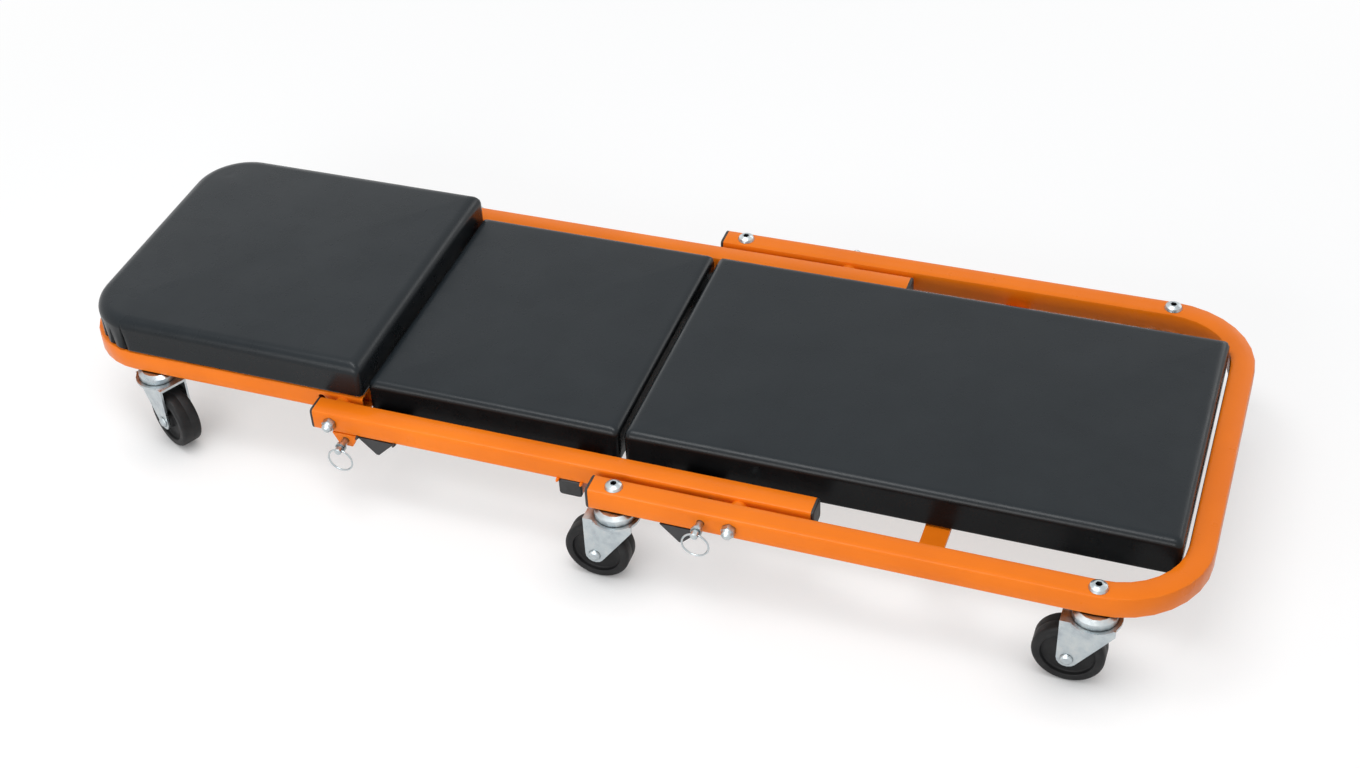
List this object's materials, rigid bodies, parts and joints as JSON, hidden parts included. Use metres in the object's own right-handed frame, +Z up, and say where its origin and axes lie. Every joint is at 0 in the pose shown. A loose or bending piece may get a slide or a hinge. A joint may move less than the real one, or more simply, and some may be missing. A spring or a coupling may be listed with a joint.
{
  "type": "folding mechanic creeper",
  "caption": "Low padded creeper on swivel casters whose hinged tube frames lie flat as a rolling bed or fold up into a Z-shaped work seat.",
  "frame": {"origin": "middle of the flat creeper, on the floor under it", "axes": "+X from the head end to the foot end, +Y to the lying person's left, +Z up"},
  "size_m": [1.2445, 0.5008, 0.1652],
  "materials": {
    "orange_paint": "glossy powder coat on square steel tube",
    "black_paint": "satin black powder coat",
    "black_plastic": "moulded end caps",
    "zinc_plate": "bright zinc plate",
    "charcoal_vinyl": "grained vinyl-coated fabric over foam",
    "plywood": "raw plywood",
    "black_tread": "satin moulded wheel"
  },
  "bodies": {
    "foot_section": {"foot_frame": "orange_paint", "foot_cap_right": "black_plastic", "foot_cap_left": "black_plastic", "foot_stop_bar": "black_paint", "foot_strap": "orange_paint", "foot_board": "plywood", "foot_cushion": "charcoal_vinyl", "fold_bolt_right": "zinc_plate", "fold_bolt_left": "zinc_plate", "fold_nut_right": "zinc_plate", "fold_nut_left": "zinc_plate", "middle_right_caster_stem": "zinc_plate", "middle_left_caster_stem": "zinc_plate", "foot_right_caster_stem": "zinc_plate", "foot_left_caster_stem": "zinc_plate"},
    "middle_section": {"mid_rail_right": "orange_paint", "mid_rail_left": "orange_paint", "mid_head_cap_right": "black_plastic", "mid_head_cap_left": "black_plastic", "mid_foot_cap_right": "black_plastic", "mid_foot_cap_left": "black_plastic", "crossbar_cap_right": "black_plastic", "crossbar_cap_left": "black_plastic", "mid_stop_bar": "black_paint", "mid_crossbar": "orange_paint", "mid_board": "plywood", "mid_cushion": "charcoal_vinyl", "head_bolt_right": "zinc_plate", "head_bolt_left": "zinc_plate", "head_nut_right": "zinc_plate", "head_nut_left": "zinc_plate", "seat_lock_tab": "orange_paint"},
    "head_section": {"head_frame": "orange_paint", "head_board": "plywood", "head_cushion": "charcoal_vinyl", "head_right_caster_stem": "zinc_plate", "head_left_caster_stem": "zinc_plate"},
    "flat_lock": {"flat_lock_pin": "zinc_plate"},
    "flat_lock_pull": {"flat_lock_ring": "zinc_plate"},
    "seat_lock": {"seat_lock_pin": "zinc_plate"},
    "seat_lock_pull": {"seat_lock_ring": "zinc_plate"},
    "head_right_swivel": {"head_right_caster_fork": "zinc_plate", "head_right_caster_axle": "zinc_plate"},
    "head_right_roller": {"head_right_caster_wheel": "black_tread"},
    "head_left_swivel": {"head_left_caster_fork": "zinc_plate", "head_left_caster_axle": "zinc_plate"},
    "head_left_roller": {"head_left_caster_wheel": "black_tread"},
    "middle_right_swivel": {"middle_right_caster_fork": "zinc_plate", "middle_right_caster_axle": "zinc_plate"},
    "middle_right_roller": {"middle_right_caster_wheel": "black_tread"},
    "middle_left_swivel": {"middle_left_caster_fork": "zinc_plate", "middle_left_caster_axle": "zinc_plate"},
    "middle_left_roller": {"middle_left_caster_wheel": "black_tread"},
    "foot_right_swivel": {"foot_right_caster_fork": "zinc_plate", "foot_right_caster_axle": "zinc_plate"},
    "foot_right_roller": {"foot_right_caster_wheel": "black_tread"},
    "foot_left_swivel": {"foot_left_caster_fork": "zinc_plate", "foot_left_caster_axle": "zinc_plate"},
    "foot_left_roller": {"foot_left_caster_wheel": "black_tread"}
  },
  "joints": [
    {"name": "mid_fold", "type": "hinge", "parent": "foot_section", "child": "middle_section", "pos_m": [0.1775, 0, 0.1074], "axis": [0, 1, 0], "range_deg": [0, 135]},
    {"name": "head_fold", "type": "hinge", "parent": "middle_section", "child": "head_section", "pos_m": [-0.279, 0, 0.1074], "axis": [0, -1, 0], "range_deg": [0, 135]},
    {"name": "flat_lock_slide", "type": "slide", "parent": "foot_section", "child": "flat_lock", "axis": [0, 1, 0], "range_m": [0, 0.01]},
    {"name": "flat_lock_pull_swing", "type": "hinge", "parent": "flat_lock", "child": "flat_lock_pull", "pos_m": [0.1475, -0.2503, 0.10769], "axis": [-1, 0, 0], "range_deg": [-10, 80]},
    {"name": "seat_lock_slide", "type": "slide", "parent": "middle_section", "child": "seat_lock", "axis": [0, 1, 0], "range_m": [0, 0.01]},
    {"name": "seat_lock_pull_swing", "type": "hinge", "parent": "seat_lock", "child": "seat_lock_pull", "pos_m": [-0.2635, -0.2178, 0.08719], "axis": [-1, 0, 0], "range_deg": [-10, 80]},
    {"name": "head_right_swivel_turn", "type": "hinge", "parent": "head_section", "child": "head_right_swivel", "pos_m": [-0.523, -0.1555, 0.0843], "axis": [0, 0, 1], "continuous": true},
    {"name": "head_right_wheel_spin", "type": "hinge", "parent": "head_right_swivel", "child": "head_right_roller", "pos_m": [-0.50534, -0.16489, 0.035], "axis": [0.4695, 0.8829, 0], "continuous": true},
    {"name": "head_left_swivel_turn", "type": "hinge", "parent": "head_section", "child": "head_left_swivel", "pos_m": [-0.523, 0.1555, 0.0843], "axis": [0, 0, 1], "continuous": true},
    {"name": "head_left_wheel_spin", "type": "hinge", "parent": "head_left_swivel", "child": "head_left_roller", "pos_m": [-0.54066, 0.16489, 0.035], "axis": [-0.4695, -0.8829, 0], "continuous": true},
    {"name": "middle_right_swivel_turn", "type": "hinge", "parent": "foot_section", "child": "middle_right_swivel", "pos_m": [0.0525, -0.2205, 0.0843], "axis": [0, 0, 1], "continuous": true},
    {"name": "middle_right_wheel_spin", "type": "hinge", "parent": "middle_right_swivel", "child": "middle_right_roller", "pos_m": [0.0325, -0.2205, 0.035], "axis": [0, -1, 0], "continuous": true},
    {"name": "middle_left_swivel_turn", "type": "hinge", "parent": "foot_section", "child": "middle_left_swivel", "pos_m": [0.0525, 0.2205, 0.0843], "axis": [0, 0, 1], "continuous": true},
    {"name": "middle_left_wheel_spin", "type": "hinge", "parent": "middle_left_swivel", "child": "middle_left_roller", "pos_m": [0.03318, 0.22568, 0.035], "axis": [-0.2588, -0.9659, 0], "continuous": true},
    {"name": "foot_right_swivel_turn", "type": "hinge", "parent": "foot_section", "child": "foot_right_swivel", "pos_m": [0.5315, -0.2205, 0.0843], "axis": [0, 0, 1], "continuous": true},
    {"name": "foot_right_wheel_spin", "type": "hinge", "parent": "foot_right_swivel", "child": "foot_right_roller", "pos_m": [0.5115, -0.2205, 0.035], "axis": [0, -1, 0], "continuous": true},
    {"name": "foot_left_swivel_turn", "type": "hinge", "parent": "foot_section", "child": "foot_left_swivel", "pos_m": [0.5315, 0.2205, 0.0843], "axis": [0, 0, 1], "continuous": true},
    {"name": "foot_left_wheel_spin", "type": "hinge", "parent": "foot_left_swivel", "child": "foot_left_roller", "pos_m": [0.51337, 0.21205, 0.035], "axis": [0.4226, -0.9063, 0], "continuous": true}
  ]
}
